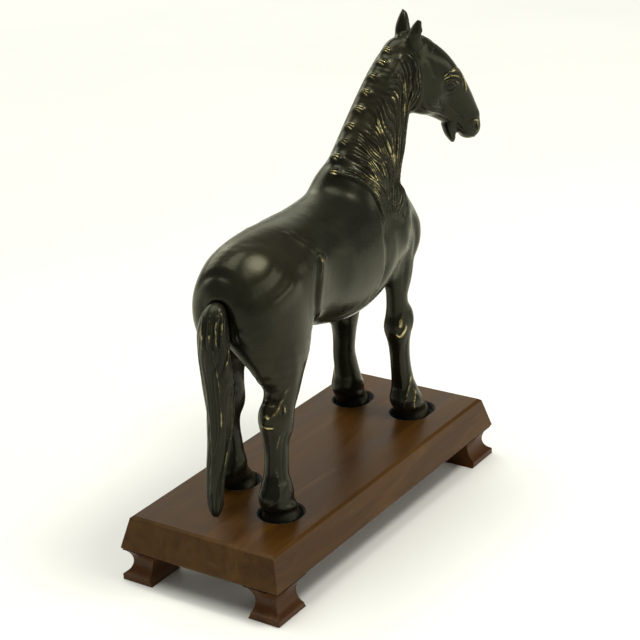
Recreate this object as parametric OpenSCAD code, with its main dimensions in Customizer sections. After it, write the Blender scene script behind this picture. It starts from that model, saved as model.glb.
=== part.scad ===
// Cast bronze horse, head turned to its right, standing loose in the hoof sockets
// of a bevelled hardwood stand with four ogee bracket feet.
// Frame: origin on the resting surface under the middle of the stand,
// +X the way the horse faces, +Y its left side, +Z up. Millimetres.

/* [Stand] */
// Length of the board at its lower edge
board_length = 225; // [215:1:240]
// Width of the board at its lower edge
board_width = 100; // [96:1:112]
// Thickness of the board
board_thickness = 19; // [16:0.5:24]
// How far the bevelled sides lean in, from the lower edge to the top
bevel = 5; // [2:0.5:8]
// Height of the bracket feet
foot_height = 17.5; // [15:0.5:24]
// Length of each foot along the board
foot_length = 24; // [21:0.5:30]
// Width of each foot across the board
foot_width = 19; // [17:0.5:24]
// Diameter of the dowels that hold the feet
dowel_diameter = 5; // [3:0.5:6]
// Depth of the hoof sockets
socket_depth = 4.5; // [3:0.5:6]
// Thickness of the felt lining in each socket
felt_thickness = 1; // [0.5:0.5:2]

/* [Horse] */
// Half width of the barrel
barrel_half_width = 31; // [28:0.5:34]
// Depth of the barrel from the back to the belly, halved
barrel_half_depth = 38; // [35:0.5:40]
// How far the head is turned to the horse's right, in degrees
head_turn = 32; // [20:1:40]
// Wall thickness of the hollow casting
wall = 3.5; // [3:0.5:5]
// Tufts along the mane's crest
tuft_count = 9; // [6:1:12]
// Radius of the founder's core hole under the belly
core_hole_radius = 9; // [6:0.5:10]

/* [Hidden] */

bronze = [0.17, 0.15, 0.11];
mahogany = [0.36, 0.15, 0.08];
felt_black = [0.03, 0.03, 0.03];

board_top = foot_height + board_thickness;
sole_height = board_top - socket_depth + felt_thickness;
arris = 1.2;
socket_gap = 0.2;
core_hole_x = 12;
plug_gap = 0.1;

// hoof places: [x, y, radius of the socket, half length of its straight part]
hoof_front_left = [72.5, 21.5, 11.6, 2];
hoof_front_right = [74.5, -18, 12, 3];
hoof_rear_left = [-47, 18.5, 11.8, 0.4];
hoof_rear_right = [-66.5, -22, 12.6, 0.4];
hoofs = [hoof_front_left, hoof_front_right, hoof_rear_left, hoof_rear_right];

// ---- lofted limbs: stations are [x, y, z, half width, half depth], z from the sole ----
function blend4(a, b, c, d, t) =
    0.5 * (2 * b + (c - a) * t + (2 * a - 5 * b + 4 * c - d) * t * t + (3 * b - a - 3 * c + d) * t * t * t);
function smooth(st, n) =
    let (last = len(st) - 1)
    concat([for (i = [0 : last - 1], k = [0 : n - 1])
                blend4(st[max(i - 1, 0)], st[i], st[i + 1], st[min(i + 2, last)], k / n)],
           [st[last]]);
function at(st) = [st[0], st[1], st[2]];
function unit(v) = v / norm(v);
function ring(prev, here, next, side, sides) =
    let (along = unit(at(next) - at(prev)),
         across = unit(side - (side * along) * along),
         out = cross(along, across),
         w = max(here[3], 0.2),
         d = max(here[4], 0.2))
    [for (k = [0 : sides - 1])
        let (a = 360 * k / sides)
        at(here) + across * w * cos(a) + out * d * sin(a)];
function thinner(st, t) = [for (s = st) [s[0], s[1], s[2], max(s[3] - t, 1), max(s[4] - t, 1)]];
function some(st, first, last) = [for (i = [first : last]) st[i]];

module loft(stations, steps = 3, sides = 20, side = [0, 1, 0]) {
    st = smooth(stations, steps);
    last = len(st) - 1;
    points = [for (i = [0 : last]) each ring(st[max(i - 1, 0)], st[i], st[min(i + 1, last)], side, sides)];
    quads = [for (i = [0 : last - 1], k = [0 : sides - 1])
                let (a = i * sides + k, b = i * sides + (k + 1) % sides)
                each [[a, b + sides, b], [a, a + sides, b + sides]]];
    caps = [[for (k = [0 : sides - 1]) k], [for (k = [0 : sides - 1]) last * sides + sides - 1 - k]];
    polyhedron(points, concat(quads, caps), convexity = 6);
}

// ---- the horse's body ----
bw = barrel_half_width;
bd = barrel_half_depth;
trunk = [[-86, -3, 119, 8, 9], [-83.5, -3, 119, 15, 17], [-76, -3, 118.5, 21, 23], [-62, -2, 119, 26, 28.5],
         [-40, -1, 118, bw - 2, bd - 7], [-16, 0, 117, bw - 1, bd - 7], [4, 0, 114.5, bw, bd - 4],
         [24, 0, 113.5, bw, bd - 1], [44, 0, 116.5, bw - 1, bd - 2], [62, 0, 117, 29, 33], [78, 0, 113, 25.5, 25],
         [87, 0, 111, 19, 18], [91, 0, 111, 10, 10]];
neck = [[36, 0, 120, 17, 20], [50, 0, 136, 19, 33], [63, -1, 157, 16, 30], [74, -2, 177, 13.2, 25],
        [83, -4, 195, 11.3, 19], [88, -5, 206, 9.5, 14]];
// the head's stations lie in its own plane, which turns about the poll
poll = [84, -4];
head = [[3, 0, 211, 8, 12], [13, 0, 203, 10.5, 16.5], [22, 0, 191, 10.5, 17.5], [32, 0, 181, 9, 13],
        [40, 0, 171, 7.5, 10.5], [46, 0, 163.5, 7, 9], [50, 0, 158.5, 5.5, 6.5], [51, 0, 157, 3, 3.5]];
hind_leg_right = [[-48, -9, 136, 6, 16], [-50, -12, 126, 13, 24], [-54, -15, 110, 15, 28], [-58.5, -19, 90, 13.5, 21],
        [-58.5, -21, 74, 9, 11], [-61.5, -21, 64, 8, 9.5], [-66, -21, 57, 8.5, 9.5], [-66.5, -21, 48, 7, 7.5],
        [-66.5, -21, 38, 6, 6.5], [-67.5, -21, 26, 6.5, 7], [-69.5, -21.5, 16, 8, 9], [-68.2, -22, 10.5, 7.7, 9.3],
        [-67, -22, 3.5, 5.5, 6]];
hind_leg_left = [for (s = hind_leg_right)
        [s[0] + 13.5 + 0.45 * max(16 - s[2], 0), -s[1] - 3.5, s[2], s[3], s[4]]];
fore_leg_right = [[66, -12, 118, 14, 20], [64.5, -15, 100, 9, 12], [63, -17, 88, 6.5, 8], [62.5, -17, 76, 6, 6.5],
        [64, -17, 67, 7.5, 8], [63, -17, 59, 7.5, 8.5], [63.5, -17, 49, 6, 6.5], [64.5, -17, 37, 5.7, 6.3],
        [66.5, -17, 25, 6.5, 7], [67.5, -17.5, 16, 7.5, 8.5], [70.5, -18, 10, 7.8, 9.7],
        [73, -18, 3.5, 5.5, 6]];
fore_leg_left = [for (s = fore_leg_right) [s[0] + 1.5, -s[1] + 4, s[2], s[3], s[4]]];
tail_line = [[-77, -4, 120, 3.2, 3.2], [-82, -4.2, 119.5, 3.4, 3.4], [-87, -4.5, 117.5, 5.2, 5.2],
        [-91, -5, 110, 7, 6], [-93, -5.5, 99, 8, 6], [-92.5, -6, 86, 9.5, 6.5], [-92.5, -6, 68, 8.5, 6],
        [-93.5, -5, 50, 6.5, 5], [-96.5, -3.5, 32, 4.7, 4.2], [-97.5, -3.5, 18, 4.2, 4], [-97.5, -3.5, 11, 2, 2]];

// crest of the neck, from the poll to the withers: [x, y, z]
function crest(t) =
    let (pts = [[86, -5, 219], [74, -4, 209], [61, -3, 198], [50, -2, 188], [40.5, -1, 177.5], [32, 0, 167.5], [23, 0, 157]],
         u = min(t, 0.999) * (len(pts) - 1),
         i = floor(u))
    pts[i] + (pts[i + 1] - pts[i]) * (u - i);

module crest_mane() {
    for (i = [0 : tuft_count - 1]) {
        root = crest((i + 0.2) / tuft_count);
        end = crest((i + 0.75) / tuft_count);
        hull() {
            translate(root + [1, -2, -3]) sphere(3, $fn = 10);
            translate(end + [-2.5, 1, 0.5]) sphere(2.6, $fn = 10);
            translate(end + [3, -6, -6]) sphere(2.6, $fn = 10);
        }
    }
}

// a place on the neck's skin: v counts stations up from the shoulder, a = 90 at the crest, 180 on the right
function along_neck(v) = let (i = min(floor(v), len(neck) - 2)) neck[i] + (neck[i + 1] - neck[i]) * (v - i);
function on_neck(v, a) =
    let (s = along_neck(v),
         up = unit(at(along_neck(min(v + 0.3, 5))) - at(along_neck(max(v - 0.3, 0)))),
         across = unit([0, 1, 0] - ([0, 1, 0] * up) * up),
         back = cross(up, across))
    at(s) + across * s[3] * cos(a) + back * s[4] * sin(a);

// the mane laid over the right side of the neck, in overlapping locks
lock_count = 6;
module mane_locks() {
    for (i = [0 : lock_count - 1]) {
        v = 4.9 - 0.72 * i;
        loft([for (k = [0 : 4])
                let (p = on_neck(max(v - 0.3 * k, 0.2), 112 + (26 - i * 2) * k))
                [p[0], p[1], p[2], 1.6 + (k < 3 ? 0.5 : 0), k < 4 ? 4.5 : 2]], 2, 8);
    }
}

module ear(side, drop) {
    hull() {
        translate([8.5 + side * 1.2, side * 5, 216]) rotate([0, 25, 0]) scale([1, 0.8, 1.4]) sphere(4, $fn = 14);
        translate([11.5, side * 7.5, 226 + drop / 2]) scale([1, 0.7, 1.3]) sphere(3.2, $fn = 12);
        translate([13, side * 8.5, 231.5 + drop]) sphere(1, $fn = 8);
    }
}

module head_form() {
    translate([poll[0], poll[1], 0]) rotate([0, 0, -head_turn]) {
        difference() {
            loft(head, 3, 20);
            // mouth, open downwards behind the upper lip
            hull() {
                translate([44.5, 0, 151]) rotate([90, 0, 0]) cylinder(h = 20, r = 2.4, center = true, $fn = 16);
                translate([43, 0, 160]) rotate([90, 0, 0]) cylinder(h = 20, r = 0.7, center = true, $fn = 16);
            }
        }
        ear(1, 0);
        ear(-1, -2);
        // lower lip and chin
        hull() {
            translate([34.5, 0, 165]) sphere(4, $fn = 12);
            translate([38.3, 0, 157.5]) sphere(2.6, $fn = 12);
        }
        // brow ridge over each eye
        for (s = [-1, 1])
            hull() {
                translate([24, s * 8, 198]) sphere(2.5, $fn = 10);
                translate([34, s * 7.5, 191]) sphere(2.2, $fn = 10);
            }
    }
}

// the top of the hull stays inside the pastern, which sits "back" mm behind the middle of the hoof
module hoof(h, back) {
    wide = h[2] - felt_thickness - 0.7;
    hull() {
        translate([h[0], h[1], 0]) linear_extrude(1.1) scale([(wide + h[3]) / wide, 1]) circle(wide, $fn = 36);
        translate([h[0] - 0.3 * back, h[1], 5.2]) linear_extrude(1) scale([1.1, 1]) circle(wide - 1.3, $fn = 34);
        translate([h[0] - back, h[1], 12.7]) linear_extrude(1) circle(wide - 5.6, $fn = 22);
    }
}

module outer_form() {
    loft(trunk, 3, 28);
    loft(neck, 3, 20);
    head_form();
    for (leg = [hind_leg_right, hind_leg_left, fore_leg_right, fore_leg_left])
        loft(leg, 2, 16);
    for (k = [0 : 3])
        hoof(hoofs[k], k < 2 ? 5.5 : (k == 2 ? 4.5 : 2.5));
    crest_mane();
    mane_locks();
}

module core() {
    loft(thinner(some(trunk, 2, 10), wall), 2, 16);
    loft(thinner(some(neck, 0, 4), wall), 2, 14);
    translate([core_hole_x, 0, 60]) cylinder(h = 50, r = core_hole_radius, $fn = 64);
}

module horse_casting() {
    color(bronze)
        translate([0, 0, sole_height])
            difference() {
                outer_form();
                core();
                loft([for (s = some(tail_line, 0, 4)) [s[0], s[1], s[2], s[3] + 0.3, s[4] + 0.3]], 3, 16);
            }
}

module tail() {
    color(bronze) translate([0, 0, sole_height]) loft(tail_line, 3, 16);
}

module belly_plug() {
    r = core_hole_radius - plug_gap;
    low = 117 - bd + 1.2;
    color(bronze)
        translate([core_hole_x, 0, sole_height + low - 1.4])
            rotate_extrude()
                intersection() {
                    square([r, 4.6]);
                    translate([0, 30]) circle(30, $fn = 240);
                }
}

// ---- the stand ----
module socket_shape(h, inset) {
    r = h[2] - inset;
    translate([h[0], h[1]]) {
        translate([h[3], 0]) circle(r);
        translate([-h[3], 0]) circle(r);
        translate([-h[3], -r]) square([2 * h[3], 2 * r]);
    }
}

function dowel_places() =
    [for (sx = [-1, 1], sy = [-1, 1], k = [0, 1])
        [sx * (board_length / 2 - 8 - 8 * k), sy * (board_width / 2 - 8 - 1.5 * k), 0]];

module dowel_holes(extra) {
    for (p = dowel_places())
        translate(p + [0, 0, foot_height - 9 - extra])
            cylinder(h = 20 + 2 * extra, d = dowel_diameter, $fn = 48);
}

module top_board() {
    lean = bevel * (board_thickness - 2 * arris) / board_thickness;
    side_height = board_thickness - 2 * arris;
    color(mahogany)
        difference() {
            translate([0, 0, foot_height])
                union() {
                    linear_extrude(arris, scale = [board_length / (board_length - 2), board_width / (board_width - 2)])
                        square([board_length - 2, board_width - 2], center = true);
                    translate([0, 0, arris])
                        linear_extrude(side_height, scale = [(board_length - 2 * lean) / board_length,
                                                             (board_width - 2 * lean) / board_width])
                            square([board_length, board_width], center = true);
                    translate([0, 0, arris + side_height])
                        linear_extrude(arris, scale = [(board_length - 2 * bevel - 2) / (board_length - 2 * lean),
                                                       (board_width - 2 * bevel - 2) / (board_width - 2 * lean)])
                            square([board_length - 2 * lean, board_width - 2 * lean], center = true);
                }
            for (h = hoofs)
                translate([0, 0, board_top - socket_depth])
                    linear_extrude(socket_depth + 1) socket_shape(h, 0);
            dowel_holes(0);
        }
}

// one bracket foot in its own corner: the outer corner at the origin, the foot towards +X and +Y
module foot_profile(length) {
    difference() {
        square([length + 2.9, foot_height]);
        translate([-3.8, foot_height * 0.6]) circle(r = 8.2, $fn = 96);
        translate([length + 11, foot_height * 0.42]) circle(r = 13, $fn = 96);
    }
}

module foot(sx, sy) {
    color(mahogany)
        difference() {
            translate([-sx * board_length / 2, -sy * board_width / 2, 0])
                mirror([sx < 0 ? 1 : 0, 0, 0])
                    mirror([0, sy < 0 ? 1 : 0, 0])
                        intersection() {
                            translate([0, foot_width + 4, 0]) rotate([90, 0, 0])
                                linear_extrude(foot_width + 5) foot_profile(foot_length);
                            translate([-1, 0, 0]) rotate([90, 0, 90])
                                linear_extrude(foot_length + 5) foot_profile(foot_width);
                        }
            dowel_holes(0);
        }
}

module foot_dowels() {
    color(mahogany) dowel_holes(0);
}

// felt cup lining one hoof socket
module socket_felt(h) {
    color(felt_black)
        translate([0, 0, board_top - socket_depth])
            difference() {
                linear_extrude(socket_depth - 0.3) socket_shape(h, socket_gap);
                translate([0, 0, felt_thickness])
                    linear_extrude(socket_depth) socket_shape(h, socket_gap + felt_thickness * 0.6);
            }
}

horse_casting();
tail();
belly_plug();
top_board();
foot(-1, -1);  // foot_front_left
foot(-1, 1);  // foot_front_right
foot(1, -1);  // foot_rear_left
foot(1, 1);  // foot_rear_right
foot_dowels();
socket_felt(hoof_front_left);  // socket_felt_front_left
socket_felt(hoof_front_right);  // socket_felt_front_right
socket_felt(hoof_rear_left);  // socket_felt_rear_left
socket_felt(hoof_rear_right);  // socket_felt_rear_right
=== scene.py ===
"""A dark bronze horse, its head turned to its right, standing on a bevelled mahogany stand with four feet.

Lengths in the sculpting part are millimetres in the horse's own frame: the CAD frame with z counted from the
soles of the hooves. They become metres in the CAD frame when a mesh is made.
"""

import math

import bmesh
import bpy
import numpy as np
import openvdb
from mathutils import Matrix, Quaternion, Vector, kdtree


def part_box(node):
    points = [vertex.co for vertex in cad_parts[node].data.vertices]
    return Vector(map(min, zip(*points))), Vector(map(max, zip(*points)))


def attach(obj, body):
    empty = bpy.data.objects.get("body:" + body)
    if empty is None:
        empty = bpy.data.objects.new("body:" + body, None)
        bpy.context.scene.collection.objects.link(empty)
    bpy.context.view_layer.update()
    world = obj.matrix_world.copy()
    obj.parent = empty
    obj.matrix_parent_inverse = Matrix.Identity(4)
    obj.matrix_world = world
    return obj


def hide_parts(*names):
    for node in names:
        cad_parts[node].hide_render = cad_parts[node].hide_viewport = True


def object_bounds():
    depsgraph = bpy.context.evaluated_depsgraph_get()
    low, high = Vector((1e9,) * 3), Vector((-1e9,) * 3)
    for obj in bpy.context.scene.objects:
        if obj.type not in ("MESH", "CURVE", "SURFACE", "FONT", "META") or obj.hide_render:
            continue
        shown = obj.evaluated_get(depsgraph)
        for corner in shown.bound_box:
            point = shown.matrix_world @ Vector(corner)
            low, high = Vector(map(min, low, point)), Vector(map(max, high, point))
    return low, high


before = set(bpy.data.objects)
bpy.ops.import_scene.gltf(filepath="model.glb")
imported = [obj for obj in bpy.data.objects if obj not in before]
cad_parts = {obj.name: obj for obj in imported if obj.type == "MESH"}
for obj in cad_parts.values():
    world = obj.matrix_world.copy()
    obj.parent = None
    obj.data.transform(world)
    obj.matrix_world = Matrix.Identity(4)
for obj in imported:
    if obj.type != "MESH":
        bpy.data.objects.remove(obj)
cad_low, cad_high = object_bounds()
FELT = 1.0
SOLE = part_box("socket_felt_front_right")[0].z * 1000 + FELT

# ------------------------------------------------------------------ the sculpting field
STEP = 0.7
LOW = np.array([-104.0, -45.0, -1.5])
HIGH = np.array([134.0, 43.5, 236.0])
COUNT = np.ceil((HIGH - LOW) / STEP).astype(int) + 1
AXES = [(LOW[i] + STEP * np.arange(COUNT[i])).astype(np.float32) for i in range(3)]
FAR = 14.0
field = np.full(COUNT, FAR, np.float32)

HEAD_TURN = math.radians(32)
POLL = (84.0, -4.0)


def to_head(x, y):
    """The head's own plane: s runs forward from the poll, l to the horse's left."""
    c, s = math.cos(HEAD_TURN), math.sin(HEAD_TURN)
    dx, dy = x - POLL[0], y - POLL[1]
    return c * dx - s * dy, s * dx + c * dy


def from_head(s, l):
    c, k = math.cos(HEAD_TURN), math.sin(HEAD_TURN)
    return POLL[0] + c * s + k * l, POLL[1] - k * s + c * l


def smooth_step(x, a, b):
    t = np.clip((x - a) / (b - a), 0, 1)
    return t * t * (3 - 2 * t)


def blend_min(a, b, k):
    if k <= 0:
        return np.minimum(a, b)
    h = np.maximum(k - np.abs(a - b), 0) / k
    return np.minimum(a, b) - h * h * (k / 4)


def blend_max(a, b, k):
    return -blend_min(-a, -b, k)


def block(low, high):
    """Slices and open coordinate grids of the part of the field between two corners."""
    i0 = np.clip(np.floor((np.asarray(low) - LOW) / STEP).astype(int), 0, COUNT)
    i1 = np.clip(np.ceil((np.asarray(high) - LOW) / STEP).astype(int) + 1, 0, COUNT)
    cut = tuple(slice(a, b) for a, b in zip(i0, i1))
    x, y, z = (AXES[i][cut[i]] for i in range(3))
    return cut, x[:, None, None], y[None, :, None], z[None, None, :]


def curve_at(p, i, t):
    """The point t of the way from station i to the next, on a Catmull-Rom curve."""
    last = len(p) - 1
    a, b, c, d = p[max(i - 1, 0)], p[i], p[i + 1], p[min(i + 2, last)]
    return 0.5 * (2 * b + (c - a) * t + (2 * a - 5 * b + 4 * c - d) * t * t + (3 * b - a - 3 * c + d) * t ** 3)


def catmull(points, n):
    """Stations smoothed with a Catmull-Rom curve, n steps to each gap."""
    p = np.array(points, float)
    last = len(p) - 1
    return np.array([curve_at(p, i, k / n) for i in range(last) for k in range(n)] + [p[last]])


def radii_distance(u, v, w, radii):
    """About the distance to an ellipsoid, from coordinates that are 1 on its surface."""
    k = np.sqrt(u * u + v * v + w * w)
    g = np.sqrt((u / radii[0]) ** 2 + (v / radii[1]) ** 2 + (w / radii[2]) ** 2)
    return (k * (k - 1) / np.maximum(g, 1e-6)).astype(np.float32)


def join(cut, part, k, cut_away):
    """Adds a shape's distances to the field with a soft join of width k, or takes them away."""
    field[cut] = blend_max(field[cut], -part, k) if cut_away else blend_min(field[cut], part, k)


def piece_distance(a, b, x, y, z, start=None, end=None):
    """About the distance to one straight piece of a loft with elliptical sections: x, y, z, half width, half depth.

    Start and end say how far a free end bulges; an end that another piece follows is rounded just to join it.
    """
    side = np.array((0, 1, 0), float)
    ab = b[:3] - a[:3]
    length = math.sqrt(ab @ ab)
    along = ab / length
    across = side - (side @ along) * along
    across /= math.sqrt(across @ across)
    out = np.cross(along, across)
    px, py, pz = x - a[0], y - a[1], z - a[2]
    r = px * along[0] + py * along[1] + pz * along[2]
    t = np.clip(r / length, 0, 1)
    p = px * across[0] + py * across[1] + pz * across[2]
    q = px * out[0] + py * out[1] + pz * out[2]
    r = r - t * length
    w = a[3] + (b[3] - a[3]) * t
    d = a[4] + (b[4] - a[4]) * t
    e = np.minimum(np.minimum(w, d), 2.2 * length)
    e = np.where(r < 0, e if start is None else start, e if end is None else end).astype(np.float32)
    return radii_distance(p / w, q / d, r / e, (w, d, e))


def loft(stations, k, n=4, head=False, cut_away=False, bulge=1.5):
    """A soft-joined loft through stations; those of the head are in the head's plane."""
    st = catmull(stations, n)
    last = len(st) - 2
    st[:, 3:] = np.maximum(st[:, 3:], 0.3)
    world = st.copy()
    if head:
        world[:, 0], world[:, 1] = from_head(st[:, 0], st[:, 1])
    reach = st[:, 3:].max() + 4 + k
    whole, _, _, _ = block(world[:, :3].min(0) - reach, world[:, :3].max(0) + reach)
    part = np.full([s.stop - s.start for s in whole], FAR, np.float32)
    for i in range(len(st) - 1):
        reach = max(st[i, 3:].max(), st[i + 1, 3:].max()) + 4 + k
        pair = world[i:i + 2, :3]
        cut, x, y, z = block(pair.min(0) - reach, pair.max(0) + reach)
        if head:
            x, y = to_head(x, y)
        ends = (bulge if i == 0 else None, bulge if i == last else None)
        d = piece_distance(st[i], st[i + 1], x, y, z, *ends)
        inner = tuple(slice(c.start - w.start, c.stop - w.start) for c, w in zip(cut, whole))
        part[inner] = np.minimum(part[inner], d)
    join(whole, part, k, cut_away)


def blob(centre, radii, k, pitch=0, yaw=0, head=False, cut_away=False):
    """A soft-joined ellipsoid. Pitch tips its long axis in the xz plane, yaw turns it about z, in degrees."""
    c = np.array(centre, float)
    world = c.copy()
    if head:
        world[0], world[1] = from_head(c[0], c[1])
    reach = max(radii) + 4 + k
    cut, x, y, z = block(world - reach, world + reach)
    if head:
        x, y = to_head(x, y)
    px, py, pz = x - c[0], y - c[1], z - c[2]
    a, b = math.radians(yaw), math.radians(pitch)
    px, py = math.cos(a) * px + math.sin(a) * py, -math.sin(a) * px + math.cos(a) * py
    px, pz = math.cos(b) * px + math.sin(b) * pz, -math.sin(b) * px + math.cos(b) * pz
    join(cut, radii_distance(px / radii[0], py / radii[1], pz / radii[2], radii), k, cut_away)


# ------------------------------------------------------------------ the horse
TRUNK = [[-85, -3, 119, 7, 8], [-82.5, -3, 119, 14, 16], [-75.5, -3, 118.5, 20, 22],
    [-62, -2.5, 119, 25, 27.5],
         [-40, -1.5, 118, 28.3, 30.3], [-16, 0, 117, 29.5, 30.5], [4, 0, 114.5, 30.5, 33.5],
         [24, 0, 113.5, 30.5, 36.5], [44, 0, 116.5, 29, 35], [60, 0, 117, 25.5, 31], [74, 0, 113, 21.5, 24],
         [83, 0, 111.5, 16.5, 18], [88.5, 0, 111, 10, 11.5]]
NECK = [[36, 0, 120, 17, 19], [49.8, 0, 136, 18.5, 31.0], [62.0, -1, 157, 15.5, 27.4],
    [73.0, -2, 177, 13, 22.8],
        [82.7, -4, 195, 11.2, 18.4], [88, -5, 206, 9.5, 13.6]]
HEAD = [[3, 0, 211, 8.2, 12.5], [12.8, 0, 202.8, 10.5, 17.4], [22.4, 0, 191.4, 10.5, 17.7],
    [32.3, 0, 181.8, 8.8, 12.9],
        [41, 0, 172.6, 7.4, 9.6], [46.5, 0, 165.4, 6.8, 8.4], [49.8, 0, 160.6, 5.4, 6.4],
         [50.9, 0, 159, 3, 3.6]]
HIND = [[-48, -9, 136, 6, 16], [-50, -12, 126, 13, 24], [-54, -15, 110, 15, 28],
    [-57.7, -19, 90, 13.5, 21.8],
        [-57.8, -21, 74, 9, 11.8], [-61.5, -21, 64, 8, 9.5], [-66, -21, 57, 8.5, 9.5],
         [-66.5, -21, 48, 7, 7.5],
        [-66.5, -21, 38, 6, 6.5], [-67.5, -21, 26, 6.5, 7], [-69.5, -21.5, 16, 8, 9],
         [-68.2, -22, 10.5, 7.7, 9.3],
        [-67, -22, 3.5, 5.5, 6]]
FORE = [[66, -12, 118, 14, 20], [64.5, -15, 100, 9, 12], [63, -17, 88, 6.5, 8], [62.5, -17, 76, 6, 6.5],
        [64, -17, 67, 7.5, 8], [63, -17, 59, 7.5, 8.5], [63.5, -17, 49, 6, 6.5], [64.5, -17, 37, 5.7, 6.3],
        [66.5, -17, 25, 6.5, 7], [67.5, -17.5, 16, 7.5, 8.5], [70.5, -18, 10, 7.8, 9.7],
         [73, -18, 3.5, 5.5, 6]]
# hooves: x, y, radius at the ground, extra length forward, how far back the pastern stands
HOOFS = {"front_left": (72.5, 21.5, 9.9, 2.0, 5.5), "front_right": (74.5, -18, 10.3, 3.0, 5.5),
         "rear_left": (-47, 18.5, 10.1, 0.4, 4.5), "rear_right": (-66.5, -22, 10.9, 0.4, 2.5)}


def hind_left(p):
    """The place on the left hind leg that answers to one on the right."""
    p = list(p)
    high = smooth_step(p[2], 58, 72) * smooth_step(-p[2], -112, -92)
    slim = [p[3] * (1 - 0.12 * high), p[4] * (1 - 0.2 * high)] if len(p) > 4 else p[3:]
    low = smooth_step(p[2], 26, 40) - smooth_step(p[2], 82, 98)
    return [p[0] + 13.5 - 4.2 * high - 0.7 * low + 0.45 * max(16 - p[2], 0), -p[1] - 3.5 + 1.1 * low,
        p[2]] + slim


def fore_left(p):
    p = list(p)
    up = smooth_step(p[2], 34, 56)
    p = [p[0] + 0.3 + 1.0 * up, -p[1] + 4.5 - 1.5 * up] + p[2:]
    return p if len(p) < 5 else p[:3] + [p[3] + 0.5, p[4] + 0.9]


TAIL = [[-77, -4, 120, 3.2, 3.2], [-82, -4.2, 119.5, 3.4, 3.4], [-87.3, -4.3, 118.4, 6.3, 5.8],
        [-91.0, -4.6, 110.8, 8.3, 6.7], [-92.6, -5.4, 99, 8.7, 6.2], [-92.1, -6.0, 86, 8.7, 6.2],
         [-92.1, -6.1, 68, 7.6, 5.8],
        [-93.3, -5.3, 50, 6.3, 4.9], [-96.3, -3.7, 32, 4.7, 4.1], [-97.4, -3.6, 18, 4.0, 3.5],
         [-97.8, -3.3, 11.2, 1.6, 1.4]]


# centre, radii, width of the join, pitch
HIND_FORMS = [
    # stifle
    ((-39, -18.7, 111), (8, 9.6, 18), 3, 8), ((-38.5, -16.5, 99), (8, 8.2, 11), 3, 30),
    # gaskin, point of the hock and the hock's bones
    ((-59, -21, 79), (9, 8.2, 14), 4, -6), ((-71.2, -21, 61), (3.0, 3.8, 6.5), 4, 12),
    ((-64, -21, 58), (7.0, 8.2, 6.5), 3), ((-62.5, -21, 52), (5.5, 7.2, 6), 4),
    # fetlock and ergot
    ((-67, -21, 18), (6.6, 7.4, 6), 4), ((-75.5, -21.5, 15), (4.2, 5.4, 5), 4)]
FORE_FORMS = [
    # shoulder blade, point of the shoulder, forearm and elbow
    ((57, -16.5, 123), (12.5, 12.3, 22), 4, -20), ((73, -13.0, 112.5), (11.4, 12.6, 17), 4),
    ((69, -11.0, 122.5), (12.5, 12.4, 15), 5), ((65.5, -15.5, 98), (8.2, 8.5, 17), 4, -4),
    ((55.5, -16, 99), (5.5, 6, 8), 4, -20),
    # knee, fetlock and ergot
    ((67, -17, 65.5), (5, 6.8, 7.5), 3), ((59.5, -17, 61), (4.2, 5.5, 5.5), 3.5),
    ((68, -17.3, 18), (6.2, 7, 6), 4), ((61.5, -17.3, 15), (4, 5.2, 5), 4)]


def sculpt_horse():
    loft(TRUNK, 0, bulge=2.5)
    loft(NECK, 4, n=5)
    for leg in (HIND, [hind_left(s) for s in HIND]):
        loft(leg, 3.5)
    for leg in (FORE, [fore_left(s) for s in FORE]):
        loft(leg, 4)
    for yaw, place in ((8, list), (-8, hind_left)):
        # buttock, thigh and stifle
        blob(place((-71.5, -14, 109)), (10.5, 10.5, 21), 3.5, pitch=-6)
        # the inside of the thigh, down to the gaskin
        loft([place(s) for s in ([-73, -10, 108, 9, 10], [-70.5, -11, 100, 8, 9.5],
            [-67, -12.5, 93, 6.5, 8])], 4)
        blob(place((-52, -17.5, 109)), (19, 11.6, 23), 3.5, pitch=10, yaw=yaw)
        for centre, *form in HIND_FORMS:
            blob(place(centre), *form)
    for place in (list, fore_left):
        for centre, *form in FORE_FORMS:
            blob(place(centre), *form)
    # the base of the neck swells into the shoulders and the breast
    for y in (-5.5, 5.5):
        blob((41, y, 141), (16, 15, 17), 6, pitch=35)
    blob((67, 0, 130), (17, 14, 17), 7)
    # chest
    for y in (-9, 9):
        blob((78, y * 0.9, 106), (8, 8.6, 12), 3.5, pitch=6)
    for side in (-1, 1):
        # the barrel rolls over in front of a deep groove, and the shoulder stands apart from it
        path = ((43, 26.5, 139, 1.5), (40, 31.5, 130, 3.4), (38, 34.2, 121, 4.2), (37, 34.4, 111, 4.2),
                (33, 33, 102, 3.6), (25, 30.2, 94, 2.2))
        loft([[x, side * y, z, r, r] for x, y, z, r in path], 4.5, cut_away=True)
        blob((-16, side * 41, 126), (13, 10.3, 20), 7, cut_away=True, pitch=20)
    blob((-71.5, 6.5, 110), (12, 12.6, 20), 5)
    # room round the root of the tail
    loft([s[:3] + [s[3] + 0.4, s[4] + 0.4] for s in TAIL[1:6]], 3.0, cut_away=True)
    hooves()
    head_and_ears()
    belly_hole()


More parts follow.
